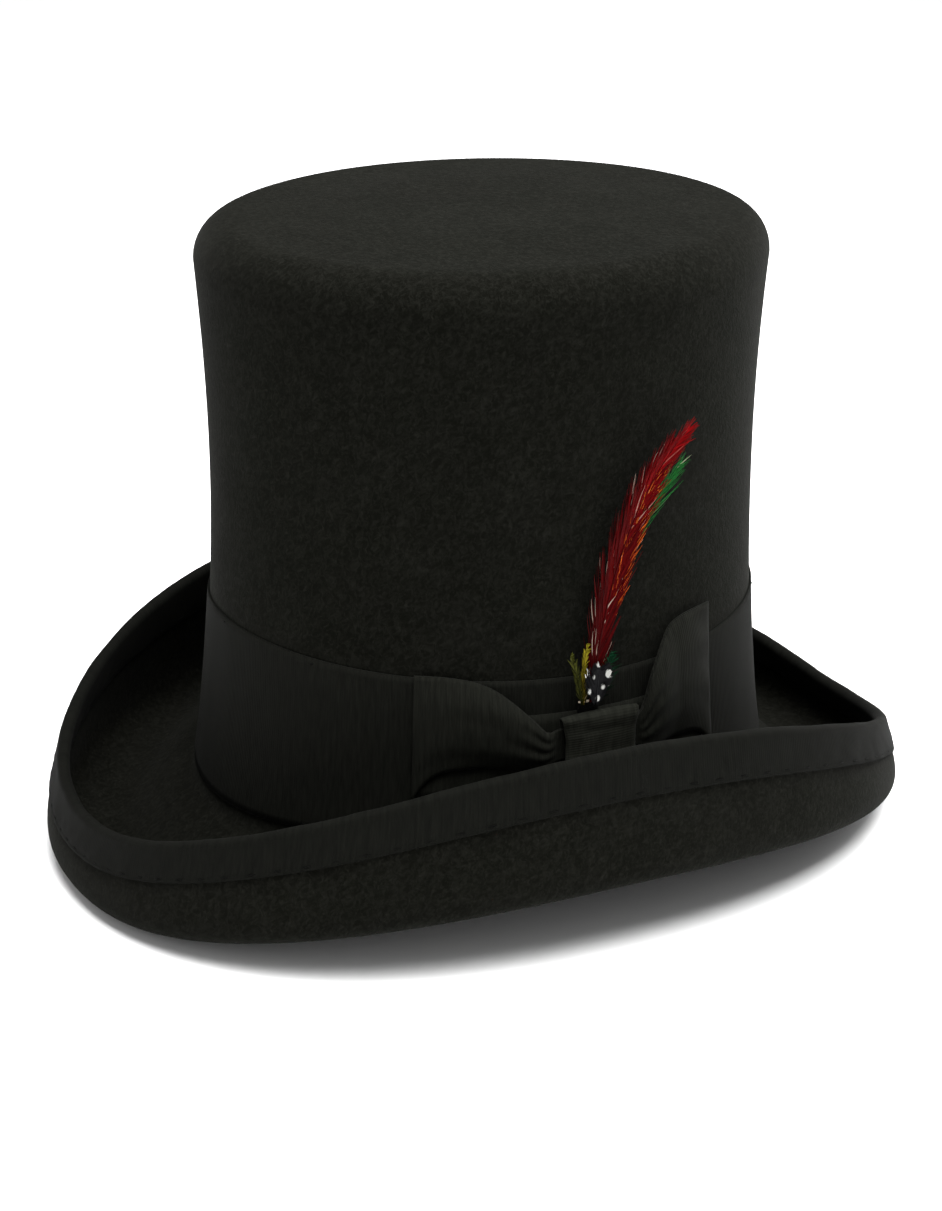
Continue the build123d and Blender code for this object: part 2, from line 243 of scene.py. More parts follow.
def meshObject(name, points, faces, uvs=None, tone=None):
    mesh = bpy.data.meshes.new(name)
    mesh.from_pydata([tuple(p) for p in points], [], faces)
    if uvs is not None:
        layer = mesh.uv_layers.new(name="UVMap")
        corners = np.zeros(len(mesh.loops), dtype=np.int32)
        mesh.loops.foreach_get("vertex_index", corners)
        layer.data.foreach_set("uv", np.asarray(uvs, dtype=np.float32)[corners].ravel())
    if tone is not None:
        mark = mesh.attributes.new("tone", "FLOAT", "POINT")
        mark.data.foreach_set("value", np.asarray(tone, dtype=np.float32))
    mesh.polygons.foreach_set("use_smooth", [True] * len(mesh.polygons))
    mesh.update()
    piece = bpy.data.objects.new(name, mesh)
    bpy.context.scene.collection.objects.link(piece)
    return piece


def gridNormals(grid, closed):
    if closed:
        around = np.roll(grid, -1, axis=1) - np.roll(grid, 1, axis=1)
    else:
        around = np.gradient(grid, axis=1)
    along = np.gradient(grid, axis=0)
    normals = np.cross(along, around)
    lengths = np.linalg.norm(normals, axis=2, keepdims=True)
    return normals / np.maximum(lengths, 1e-12)


def gridUvs(grid):
    # u runs along the columns and v along the rows, both in metres
    rows, columns = grid.shape[:2]
    middle = grid[rows // 2]
    steps = np.linalg.norm(np.diff(middle, axis=0), axis=1)
    u = np.concatenate([[0], np.cumsum(steps)])
    centre = grid[:, columns // 3]
    v = np.concatenate([[0], np.cumsum(np.linalg.norm(np.diff(centre, axis=0), axis=1))])
    return np.stack([np.tile(u, (rows, 1)), np.tile(v[:, None], (1, columns))], axis=2)


def shell(name, pointAt, rows, columns, outside, inside, closed=False, ripple=None, pole=False):
    # cloth, leather or felt with real thickness: the point grid is pushed out by outside and in by inside.
    # Rows that run downwards, with turns that grow, put outside on the outer side.
    # With pole, the first row is one point.
    grid = np.array([[tuple(pointAt(s, c)) for c in columns] for s in rows])
    normals = gridNormals(grid, closed)
    if ripple is not None:
        lift = np.array([[ripple(s, c) for c in columns] for s in rows])
        grid = grid + normals * lift[:, :, None]
    if pole:
        grid[0] = grid[0].mean(axis=0)
        normals[:2] = (0, 0, 1)
    uvs = gridUvs(grid)
    count, width = grid.shape[:2]
    skins = [grid + normals * outside, grid - normals * inside]
    points = np.concatenate([skin.reshape(-1, 3) for skin in skins])
    uvs = np.concatenate([uvs.reshape(-1, 2)] * 2)
    back = count * width
    faces = []
    spans = width if closed else width - 1
    last = count - 1

    def at(i, j, layer=0):
        return layer * back + i * width + j % width

    for i in range(last):
        for j in range(spans):
            faces.append((at(i, j), at(i + 1, j), at(i + 1, j + 1), at(i, j + 1)))
            faces.append((at(i, j, 1), at(i, j + 1, 1), at(i + 1, j + 1, 1), at(i + 1, j, 1)))
    for j in range(spans):
        if not pole:
            faces.append((at(0, j), at(0, j + 1), at(0, j + 1, 1), at(0, j, 1)))
        faces.append((at(last, j), at(last, j, 1), at(last, j + 1, 1), at(last, j + 1)))
    if not closed:
        for i in range(last):
            faces.append((at(i, 0), at(i, 0, 1), at(i + 1, 0, 1), at(i + 1, 0)))
            faces.append((at(i, spans), at(i + 1, spans), at(i + 1, spans, 1), at(i, spans, 1)))
    piece = meshObject(name, points, faces, uvs)
    if pole:
        mergeDoubles(piece)
    return piece


def mergeDoubles(piece):
    work = bmesh.new()
    work.from_mesh(piece.data)
    bmesh.ops.remove_doubles(work, verts=work.verts, dist=0.001 * mm)
    work.to_mesh(piece.data)
    work.free()


def tubeMesh(paths, radiusAt, sides=6, ring=False):
    # points and faces of round threads that follow the given paths
    points, faces, uvs = [], [], []
    for path in paths:
        path = [Vector(p) for p in path]
        first = len(points)
        travelled = 0.0
        count = len(path)
        for i, p in enumerate(path):
            before = path[i - 1] if (i or ring) else path[i]
            after = path[(i + 1) % count] if (ring or i < count - 1) else path[i]
            along = (after - before).normalized()
            across = along.orthogonal() if abs(along.z) > 0.9 else along.cross(Vector((0, 0, 1)))
            across.normalize()
            other = along.cross(across)
            if i:
                travelled += (p - path[i - 1]).length
            radius = radiusAt(i / (count - 1))
            for k in range(sides):
                angle = 2 * pi * k / sides
                points.append(p + (across * cos(angle) + other * sin(angle)) * radius)
                uvs.append((travelled, k / sides))
        for i in range(count if ring else count - 1):
            for k in range(sides):
                a, b = first + i * sides, first + (i + 1) % count * sides
                faces.append((a + k, a + (k + 1) % sides, b + (k + 1) % sides, b + k))
        if not ring:
            faces.append(tuple(first + k for k in reversed(range(sides))))
            faces.append(tuple(first + (count - 1) * sides + k for k in range(sides)))
    return points, faces, uvs


def stitches(name, places, radius, sink):
    # each place is (start, end, outward); the thread dips into the cloth at both ends
    paths = []
    lifts = (-sink, 0.5 * radius, radius, 0.5 * radius, -sink)
    for start, end, out in places:
        marks = zip(spread(0, 1, len(lifts)), lifts)
        paths.append([start.lerp(end, share) + out * lift for share, lift in marks])
    return meshObject(name, *tubeMesh(paths, lambda share: radius))


def finishPiece(piece, material, body, slot, *nodes):
    piece.data.materials.append(material)
    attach(piece, body)
    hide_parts(*nodes)
    print("piece", piece.name)


def addNode(tree, kind, **values):
    node = tree.nodes.new(kind)
    for key, value in values.items():
        setattr(node, key, value)
    return node


def setInputs(node, **values):
    for key, value in values.items():
        node.inputs[key.replace("_", " ")].default_value = value
    return node


def newGroup(name, inputs, outputs):
    # inputs: {name: default}; outputs: names
    group = bpy.data.node_groups.new(name, "ShaderNodeTree")
    for key, default in inputs.items():
        socket = group.interface.new_socket(name=key, in_out="INPUT", socket_type="NodeSocketFloat")
        socket.default_value = default
    for key in outputs:
        group.interface.new_socket(name=key, in_out="OUTPUT", socket_type="NodeSocketFloat")
    return group, group.nodes.new("NodeGroupInput"), group.nodes.new("NodeGroupOutput")


def coordinate(tree, kind):
    return tree.nodes.new("ShaderNodeTexCoord").outputs[kind]


def maths(tree, operation, a, b=None):
    node = addNode(tree, "ShaderNodeMath", operation=operation)
    for socket, value in zip(node.inputs, (a, b)):
        if isinstance(value, bpy.types.NodeSocket):
            tree.links.new(value, socket)
        elif value is not None:
            socket.default_value = value
    return node.outputs[0]


def noiseAt(tree, place, scale, detail=3.0, roughness=0.55, stretch=(1, 1, 1)):
    mapping = addNode(tree, "ShaderNodeMapping")
    mapping.inputs["Scale"].default_value = stretch
    tree.links.new(place, mapping.inputs["Vector"])
    texture = addNode(tree, "ShaderNodeTexNoise")
    setInputs(texture, Scale=scale, Detail=detail, Roughness=roughness)
    tree.links.new(mapping.outputs[0], texture.inputs["Vector"])
    return texture.outputs["Fac"]


def woolEffect():
    # short matted fibres: Mottle is lighter where fibres catch the light, Height is their relief
    group, given, result = newGroup("wool fibres", dict(FibreScale=1100.0), ("Mottle", "Height"))
    place = coordinate(group, "Object")
    layers = []
    for stretch in ((1, 0.28, 0.5), (0.3, 1, 0.6), (0.6, 0.5, 0.25)):
        warp = noiseAt(group, place, 260.0, 2.0)
        shifted = addNode(group, "ShaderNodeVectorMath", operation="MULTIPLY_ADD")
        group.links.new(warp, shifted.inputs[0])
        shifted.inputs[1].default_value = (0.004, 0.004, 0.004)
        group.links.new(place, shifted.inputs[2])
        fibre = noiseAt(group, shifted.outputs[0], 1100.0, 3.0, 0.62, stretch)
        group.links.new(given.outputs["FibreScale"], fibre.node.inputs["Scale"])
        layers.append(fibre)
    fibres = maths(group, "MAXIMUM", maths(group, "MAXIMUM", layers[0], layers[1]), layers[2])
    clouds = noiseAt(group, place, 55.0, 3.0)
    sharp = addNode(group, "ShaderNodeMapRange")
    setInputs(sharp, From_Min=0.5, From_Max=0.78)
    group.links.new(fibres, sharp.inputs["Value"])
    mottle = maths(group, "ADD", maths(group, "MULTIPLY", sharp.outputs[0], 0.75),
                   maths(group, "MULTIPLY", clouds, 0.35))
    group.links.new(mottle, result.inputs["Mottle"])
    height = maths(group, "ADD", fibres, maths(group, "MULTIPLY", clouds, 0.4))
    group.links.new(height, result.inputs["Height"])
    return group


def grosgrainEffect():
    # ribs across the ribbon; u runs along the ribbon in metres
    inputs = dict(Pitch=0.0009, AlongV=0.0)
    group, given, result = newGroup("grosgrain ribs", inputs, ("Rib", "Slub", "Height"))
    coordinates = group.nodes.new("ShaderNodeTexCoord")
    parts = addNode(group, "ShaderNodeSeparateXYZ")
    group.links.new(coordinates.outputs["UV"], parts.inputs[0])
    across = maths(group, "MULTIPLY", maths(group, "SUBTRACT", parts.outputs[1], parts.outputs[0]),
                   given.outputs["AlongV"])
    along = maths(group, "ADD", parts.outputs[0], across)
    drift = maths(group, "MULTIPLY", noiseAt(group, coordinates.outputs["Object"], 60.0, 2.0), 0.0006)
    turns = maths(group, "DIVIDE", maths(group, "ADD", along, drift), given.outputs["Pitch"])
    rib = maths(group, "ABSOLUTE", maths(group, "SINE", maths(group, "MULTIPLY", turns, pi)))
    slub = noiseAt(group, coordinates.outputs["UV"], 900.0, 3.0, 0.6, (1, 0.12, 1))
    group.links.new(rib, result.inputs["Rib"])
    group.links.new(slub, result.inputs["Slub"])
    height = maths(group, "ADD", rib, maths(group, "MULTIPLY", slub, 0.35))
    group.links.new(height, result.inputs["Height"])
    return group


def threadEffect():
    # twisted thread: u is the length along it in metres and v goes once round it
    group, given, result = newGroup("thread twist", dict(Twist=1400.0), ("Twist", "Fuzz"))
    coordinates = group.nodes.new("ShaderNodeTexCoord")
    parts = addNode(group, "ShaderNodeSeparateXYZ")
    group.links.new(coordinates.outputs["UV"], parts.inputs[0])
    swing = maths(group, "ADD", maths(group, "MULTIPLY", parts.outputs[0], given.outputs["Twist"]),
                  maths(group, "MULTIPLY", parts.outputs[1], 2.0))
    twist = maths(group, "ABSOLUTE", maths(group, "SINE", maths(group, "MULTIPLY", swing, pi)))
    group.links.new(twist, result.inputs["Twist"])
    group.links.new(noiseAt(group, coordinates.outputs["Object"], 2500.0), result.inputs["Fuzz"])
    return group


effects = dict(wool=woolEffect(), grosgrain=grosgrainEffect(), thread=threadEffect())


def useEffect(tree, name, **values):
    node = addNode(tree, "ShaderNodeGroup", node_tree=effects[name])
    return setInputs(node, **values)


def newMaterial(name, **values):
    material = bpy.data.materials.new(name)
    material.use_nodes = True
    tree = material.node_tree
    shader = tree.nodes["Principled BSDF"]
    setInputs(shader, **values)
    return material, tree, shader


def coloured(tree, value, shader, dark, light, start=0.0, end=1.0):
    # base colour that goes from dark to light as value goes from start to end
    ramp = addNode(tree, "ShaderNodeValToRGB")
    first, last = ramp.color_ramp.elements
    first.position, last.position = start, end
    first.color, last.color = (*dark, 1), (*light, 1)
    tree.links.new(value, ramp.inputs[0])
    tree.links.new(ramp.outputs[0], shader.inputs["Base Color"])
    return ramp


def roughened(tree, value, shader, low, high):
    node = addNode(tree, "ShaderNodeMapRange")
    setInputs(node, To_Min=low, To_Max=high)
    tree.links.new(value, node.inputs["Value"])
    tree.links.new(node.outputs[0], shader.inputs["Roughness"])


def bumped(tree, height, shader, distance, strength=1.0):
    bump = addNode(tree, "ShaderNodeBump")
    setInputs(bump, Strength=strength, Distance=distance)
    tree.links.new(height, bump.inputs["Height"])
    tree.links.new(bump.outputs[0], shader.inputs["Normal"])


def feltMaterial():
    material, tree, shader = newMaterial(
        "black wool felt", Sheen_Weight=0.022, Sheen_Roughness=0.5, Specular_IOR_Level=0.012,
        Sheen_Tint=(0.75, 0.76, 0.70, 1))
    wool = useEffect(tree, "wool", FibreScale=1100.0)
    mottle = wool.outputs["Mottle"]
    coloured(tree, mottle, shader, (0.0022, 0.0023, 0.0016), (0.0074, 0.0075, 0.0060), 0.15, 0.9)
    roughened(tree, mottle, shader, 0.95, 0.78)
    bumped(tree, wool.outputs["Height"], shader, 0.30 * mm, 0.7)
    return material


def grosgrainMaterial(name, pitch=0.0009, alongV=0.0, light=1.0, relief=0.08):
    material, tree, shader = newMaterial(
        name, Sheen_Weight=0.008, Sheen_Roughness=0.5, Specular_IOR_Level=0.04, Anisotropic=0.3)
    ribs = useEffect(tree, "grosgrain", Pitch=pitch, AlongV=alongV)
    # light scales the ribbon's colour: above 1 is painted light and below 1 painted shade, so one black ribbon
    # gets lit and shaded copies
    low = tuple(light * c for c in (0.0020, 0.0021, 0.0015))
    high = tuple(light * c for c in (0.0062, 0.0065, 0.0050))
    coloured(tree, ribs.outputs["Slub"], shader, low, high, 0.25, 0.8)
    roughened(tree, ribs.outputs["Slub"], shader, 0.75, 0.95)
    bumped(tree, ribs.outputs["Height"], shader, relief * mm, 0.7)
    return material


def threadMaterial(name, dark, light):
    material, tree, shader = newMaterial(name, Specular_IOR_Level=0.03, Sheen_Weight=0.005)
    twist = useEffect(tree, "thread", Twist=1400.0)
    coloured(tree, twist.outputs["Twist"], shader, dark, light)
    roughened(tree, twist.outputs["Fuzz"], shader, 0.5, 0.85)
    bumped(tree, twist.outputs["Twist"], shader, 0.1 * mm)
    return material


def leatherMaterial():
    material, tree, shader = newMaterial("sweatband leather", Specular_IOR_Level=0.45, Coat_Weight=0.08,
                                         Coat_Roughness=0.35)
    place = coordinate(tree, "Object")
    grain = addNode(tree, "ShaderNodeTexVoronoi", feature="DISTANCE_TO_EDGE")
    setInputs(grain, Scale=900.0)
    tree.links.new(place, grain.inputs["Vector"])
    wear = noiseAt(tree, place, 35.0, 4.0)
    coloured(tree, wear, shader, (0.011, 0.008, 0.0065), (0.034, 0.024, 0.018), 0.3, 0.75)
    roughened(tree, wear, shader, 0.32, 0.6)
    bumped(tree, grain.outputs["Distance"], shader, 0.12 * mm, 0.6)
    return material


def satinMaterial():
    material, tree, shader = newMaterial("lining satin", Specular_IOR_Level=0.5, Sheen_Weight=0.15,
                                         Anisotropic=0.5)
    ribs = useEffect(tree, "grosgrain", Pitch=0.0004, AlongV=0.0)
    coloured(tree, ribs.outputs["Slub"], shader, (0.010, 0.010, 0.012), (0.024, 0.024, 0.028), 0.2, 0.8)
    roughened(tree, ribs.outputs["Slub"], shader, 0.26, 0.42)
    bumped(tree, ribs.outputs["Height"], shader, 0.03 * mm, 0.4)
    return material


def labelMaterial():
    material, tree, shader = newMaterial("label cloth", Specular_IOR_Level=0.3, Sheen_Weight=0.2)
    ribs = useEffect(tree, "grosgrain", Pitch=0.0005, AlongV=1.0)
    coloured(tree, ribs.outputs["Slub"], shader, (0.035, 0.034, 0.032), (0.075, 0.072, 0.066), 0.2, 0.8)
    roughened(tree, ribs.outputs["Rib"], shader, 0.55, 0.75)
    bumped(tree, ribs.outputs["Height"], shader, 0.06 * mm, 0.6)
    return material


def reedMaterial():
    material, tree, shader = newMaterial("reed", Specular_IOR_Level=0.4)
    place = coordinate(tree, "Object")
    streaks = noiseAt(tree, place, 400.0, 3.0)
    coloured(tree, streaks, shader, (0.045, 0.038, 0.028), (0.11, 0.095, 0.07), 0.25, 0.75)
    roughened(tree, streaks, shader, 0.4, 0.65)
    bumped(tree, streaks, shader, 0.08 * mm, 0.5)
    return material


def featherMaterial(name, root, middle, end):
    # u is the place along the feather, 0 at its foot; tone is each barb's own shade
    material, tree, shader = newMaterial(name, Specular_IOR_Level=0.02)
    place = coordinate(tree, "UV")
    parts = addNode(tree, "ShaderNodeSeparateXYZ")
    tree.links.new(place, parts.inputs[0])
    ramp = coloured(tree, parts.outputs[0], shader, root, end)
    between = ramp.color_ramp.elements.new(0.5)
    between.color = (*middle, 1)
    tone = addNode(tree, "ShaderNodeAttribute", attribute_name="tone").outputs["Fac"]
    shade = addNode(tree, "ShaderNodeHueSaturation")
    tree.links.new(ramp.outputs[0], shade.inputs["Color"])
    tree.links.new(maths(tree, "ADD", maths(tree, "MULTIPLY", tone, 1.3), 0.3), shade.inputs["Value"])
    # the barbs with the highest tone are mixed towards pale: painted highlight streaks
    paintedHighlight = addNode(tree, "ShaderNodeMix", data_type="RGBA")
    paintedHighlight.inputs["B"].default_value = (0.42, 0.34, 0.28, 1)
    highlightShare = addNode(tree, "ShaderNodeMapRange")
    setInputs(highlightShare, From_Min=0.90, From_Max=0.98, To_Max=0.6)
    tree.links.new(tone, highlightShare.inputs["Value"])
    tree.links.new(highlightShare.outputs[0], paintedHighlight.inputs["Factor"])
    tree.links.new(shade.outputs[0], paintedHighlight.inputs["A"])
    tree.links.new(paintedHighlight.outputs["Result"], shader.inputs["Base Color"])
    roughened(tree, tone, shader, 0.34, 0.62)
    bumped(tree, noiseAt(tree, place, 900.0), shader, 0.05 * mm, 0.4)
    return material


def guineaMaterial():
    # black barbs with staggered round white spots; u and v are laid out in metres over the feather
    material, tree, shader = newMaterial("guinea feather", Specular_IOR_Level=0.08, Sheen_Weight=0.01)
    place = coordinate(tree, "UV")
    spots = addNode(tree, "ShaderNodeTexVoronoi", feature="F1")
    setInputs(spots, Scale=265.0, Randomness=0.35)
    mapping = addNode(tree, "ShaderNodeMapping")
    mapping.inputs["Scale"].default_value = (1.0, 0.75, 1)
    mapping.inputs["Rotation"].default_value = (0, 0, radians(32))
    tree.links.new(place, mapping.inputs["Vector"])
    tree.links.new(mapping.outputs[0], spots.inputs["Vector"])
    white, black = (0.55, 0.55, 0.52), (0.0025, 0.0025, 0.003)
    coloured(tree, spots.outputs["Distance"], shader, white, black, 0.29, 0.35)
    tone = addNode(tree, "ShaderNodeAttribute", attribute_name="tone").outputs["Fac"]
    roughened(tree, tone, shader, 0.35, 0.6)
    return material


def quillMaterial():
    material, tree, shader = newMaterial("quill", Specular_IOR_Level=0.5, Coat_Weight=0.2, Coat_Roughness=0.3)
    streaks = noiseAt(tree, coordinate(tree, "Object"), 900.0, 3.0, 0.5, (1, 1, 0.1))
    coloured(tree, streaks, shader, (0.16, 0.12, 0.08), (0.46, 0.38, 0.28), 0.3, 0.7)
    roughened(tree, streaks, shader, 0.3, 0.5)
    return material


felt = feltMaterial()
blackRibbon = grosgrainMaterial("black grosgrain")
# the bow, and its knot most of all, are painted lighter than the same ribbon in the band: painted light
bowRibbonPaintedLighter = grosgrainMaterial("black grosgrain bow painted lighter", light=1.35)
knotRibbonPaintedLighter = grosgrainMaterial("black grosgrain knot painted lighter", alongV=1.0, light=2.0)
# the binding is painted darker than the same ribbon in the band: painted shade
bindingRibbonPaintedDarker = grosgrainMaterial("black grosgrain binding painted darker", light=0.75, relief=0.05)
blackThread = threadMaterial("black thread", (0.0006, 0.0006, 0.0005), (0.003, 0.003, 0.0025))
brownThread = threadMaterial("sweatband thread", (0.010, 0.009, 0.008), (0.05, 0.045, 0.038))
leather = leatherMaterial()
satin = satinMaterial()
label = labelMaterial()
reed = reedMaterial()
print("materials done")

# the felt: one piece from the middle of the tip to the rim
feltPiece = dict(rows=(12, 12, 56, 8, 18, 26), columns=288, waver=0.25 * mm, waverScale=3, waverSeed=7)


def crownAndBrim(s, turn):
    tipLevel = hat["sideHeight"] - hat["shoulder"]
    edge = sideOffset(tipLevel)
    if s < section["tipEdge"]:
        flat = hat["tipFlat"]
        dome = hat["tipDome"] * (1 if s < flat else (1 + cos(pi * (s - flat) / (1 - flat))) / 2)
        dome += feltPiece["waver"] * ringWave(turn, feltPiece["waverScale"] * s, feltPiece["waverSeed"])
        return ovalPoint(turn, edge - hat["shoulder"], hat["restToCrown"] + hat["sideHeight"] + dome, s)
    if s < section["sideTop"]:
        swing = pi / 2 * (section["sideTop"] - s)
        offset = edge - hat["shoulder"] * (1 - cos(swing)) + handWobble(turn, tipLevel) * cos(swing)
        return ovalPoint(turn, offset, hat["restToCrown"] + tipLevel + hat["shoulder"] * sin(swing))
    if s < section["foot"]:
        bottom = brimCurves(turn)[0][0].z - hat["restToCrown"]
        return sidePoint(turn, tipLevel + (bottom - tipLevel) * (s - section["sideTop"]))
    return feltPoint(s, turn, hat["felt"])


def buildFelt():
    stations = [0, *section.values()]
    rows = [0]
    for start, end, count in zip(stations, stations[1:], feltPiece["rows"]):
        rows += spread(start, end, count)[1:]
    turns = roundTurns(feltPiece["columns"])
    piece = shell("feltBody", crownAndBrim, rows, turns, 0, hat["felt"], True, pole=True)
    finishPiece(piece, felt, "hat", "black_felt", "felt_crown", "felt_brim")


buildFelt()

# the ribbon band round the crown's foot
band = dict(footGap=3.9 * mm, footFlare=0.35 * mm, flareShare=0.25, top=59.6 * mm, topSaddle=-2.5 * mm,
            rows=24, columns=360, width=0.0555, length=0.600, pucker=0.15 * mm, puckerScale=9, drawnIn=0.6,
            edgePower=6)


def bandLevel(share, turn):
    bottom = footLevel(turn) + band["footGap"]
    top = band["top"] + band["topSaddle"] * saddle(turn)
    return bottom + (top - bottom) * share


def buildBand():
    def pointAt(share, turn):
        out = layerGap + band["footFlare"] * smooth(1 - share / band["flareShare"])
        return sidePoint(turn, bandLevel(share, turn), out)

    def ripple(share, turn):
        # the ribbon's edges are drawn in a little and it puckers slightly
        edge = abs(2 * share - 1) ** band["edgePower"]
        pucker = 1 + ringWave(turn, band["puckerScale"], 2 * share)
        return band["pucker"] * pucker * (1 - band["drawnIn"] * edge)

    turns = roundTurns(band["columns"])
    piece = shell("hatBand", pointAt, spread(1, 0, band["rows"]), turns, ribbonThickness, 0, True, ripple)
    finishPiece(piece, blackRibbon, "hat", "black_grosgrain", "hat_band")


# the ribbon folded over the rim, and the row of stitches through both its edges
binding = dict(width=9.0 * mm, faceRows=14, rimRows=11, columns=420, marks=13, stitches=96, flatWidth=0.027,
               flatLength=0.910, stitchAt=0.12, stitchTurn=1.6, thread=0.18 * mm, sink=0.3 * mm)
gathers = dict(lift=0.30 * mm, folds=0.34 * mm, foldScale=26, atRim=0.35, fine=0.6, fineScale=60,
               slow=0.3 * mm, slowScale=9, pull=0.22 * mm, pullWidth=0.06)


@lru_cache(maxsize=None)
def bindingStart(turn):
    roll = brimCurves(turn)[2]
    marks = [curvePoint(roll, t) for t in spread(0, 1, binding["marks"])]
    length = sum((b - a).length for a, b in zip(marks, marks[1:]))
    return section["rim"] - binding["width"] / length


def bindingPoint(s, turn, height):
    # s: 0 to 1 up the upper face, to 2 round the rim, to 3 back along the lower face
    start, end = bindingStart(turn), section["rim"]
    thick = hat["felt"]
    if s < 1:
        return feltPoint(start + (end - start) * s, turn, thick + height)
    if s > 2:
        return feltPoint(end - (end - start) * (s - 2), turn, -height)
    swing = pi * (s - 1)
    reach = thick / 2 + height
    pastRim = (underSkin(end, turn) - underSkin(end - probe["rim"], turn)).normalized()
    middle = feltPoint(end, turn, thick / 2)
    return middle + skinNormal(end, turn) * reach * cos(swing) + pastRim * reach * sin(swing)


def bindingRipple(s, turn):
    # gathers that run out from the stitched edges and fade at the rim
    x, y = cos(radians(turn)), sin(radians(turn))
    near = (1 - smooth(s)) if s < 1.5 else smooth(s - 2)
    broad, fine, slow = gathers["foldScale"], gathers["fineScale"], gathers["slowScale"]
    folds = wave(broad * x + 2 * s, broad * y, 4) + gathers["fine"] * wave(fine * x, fine * y + 3 * s, 9)
    folds *= gathers["atRim"] + (1 - gathers["atRim"]) * near
    edges = (binding["stitchAt"], 3 - binding["stitchAt"])
    pull = sum(exp(-((s - edge) / gathers["pullWidth"]) ** 2) for edge in edges)
    lift = gathers["lift"] + gathers["folds"] * folds + gathers["slow"] * wave(slow * x, slow * y + s, 2)
    return lift - gathers["pull"] * pull


def buildBinding():
    rows = spread(0, 1, binding["faceRows"])
    rows += spread(1, 2, binding["rimRows"])[1:] + spread(2, 3, binding["faceRows"])[1:]
    piece = shell("brimBinding", lambda s, turn: bindingPoint(s, turn, layerGap), rows,
                  roundTurns(binding["columns"]), ribbonThickness, 0, True, bindingRipple)
    finishPiece(piece, bindingRibbonPaintedDarker, "hat", "black_grosgrain", "brim_binding")
    places = []
    top = layerGap + ribbonThickness
    for i in range(binding["stitches"]):
        turn = 360 * (i + 0.5) / binding["stitches"]
        for s in (binding["stitchAt"], 3 - binding["stitchAt"]):
            both = (turn, turn + binding["stitchTurn"])
            ends = [bindingPoint(s, t, top + bindingRipple(s, t)) for t in both]
            out = (bindingPoint(s, turn, 2 * top) - bindingPoint(s, turn, top)).normalized()
            places.append((*ends, out))
    thread = stitches("bindingStitches", places, binding["thread"], binding["sink"])
    finishPiece(thread, blackThread, "hat", "black_thread", "binding_stitches")


tacks = dict(turns=(-150, -90, -60, 60, 90, 150, 180), edge=0.03, across=0.9, lift=0.1 * mm, thread=0.2 * mm,
             sink=0.4 * mm)


def buildTacks():
    places = []
    for turn in tacks["turns"]:
        for share, flare in ((tacks["edge"], band["footFlare"]), (1 - tacks["edge"], 0)):
            above = layerGap + ribbonThickness + flare + tacks["lift"]
            ends = [sidePoint(t, bandLevel(share, t), above) for t in (turn, turn + tacks["across"])]
            places.append((*ends, outward(turn)))
    piece = stitches("bandTacks", places, tacks["thread"], tacks["sink"])
    finishPiece(piece, blackThread, "hat", "black_thread", "band_tacks")


buildBand()
buildBinding()
buildTacks()

# the bow: a flat layer of ribbon, two folded loops on it, and the knot
bow = dict(frontEnd=-37.0, rearEnd=28.0, knotFront=-10.0, knotRear=6.3, knotBottom=25.5 * mm,
           knotTop=46.5 * mm, backFront=-36.0, backRear=27.0, backBottom=17.5 * mm, backTop=45.5 * mm,
           backRows=9, backColumns=61)
backOut = 2 * layerGap + ribbonThickness + 0.25 * mm  # how far the flat layer stands off the felt


def buildBowBack():
    def pointAt(s, turn):
        return sidePoint(turn, bow["backBottom"] + (bow["backTop"] - bow["backBottom"]) * s, backOut)

    turns = spread(bow["backFront"], bow["backRear"], bow["backColumns"])
    piece = shell("bowBackLayer", pointAt, spread(1, 0, bow["backRows"]), turns, ribbonThickness, 0)
    finishPiece(piece, bowRibbonPaintedLighter, "hat", "black_grosgrain", "bow_back_layer")


loops = dict(neckBottom=31.5 * mm, neckTop=42.5 * mm, neckReach=92.2 * mm, opensEarly=0.02, opensOver=0.16,
             droop=12, droopPower=8, spring=0.35 * mm, settlesOver=0.5, puffPower=0.8, puffEdge=3,
             crease=0.55 * mm, creaseShift=1.3, creaseFade=3.2, creaseStart=8, crumple=0.5 * mm, crumpleAcross=6,
             crumpleAlong=2.2, crumpleStart=4, foldWidth=0.05, slack=0.45 * mm, rest=0.15 * mm, rows=25,
             runs=((-0.1, 0.95, 46), (0.955, 1.045, 12), (1.05, 2.1, 30)))


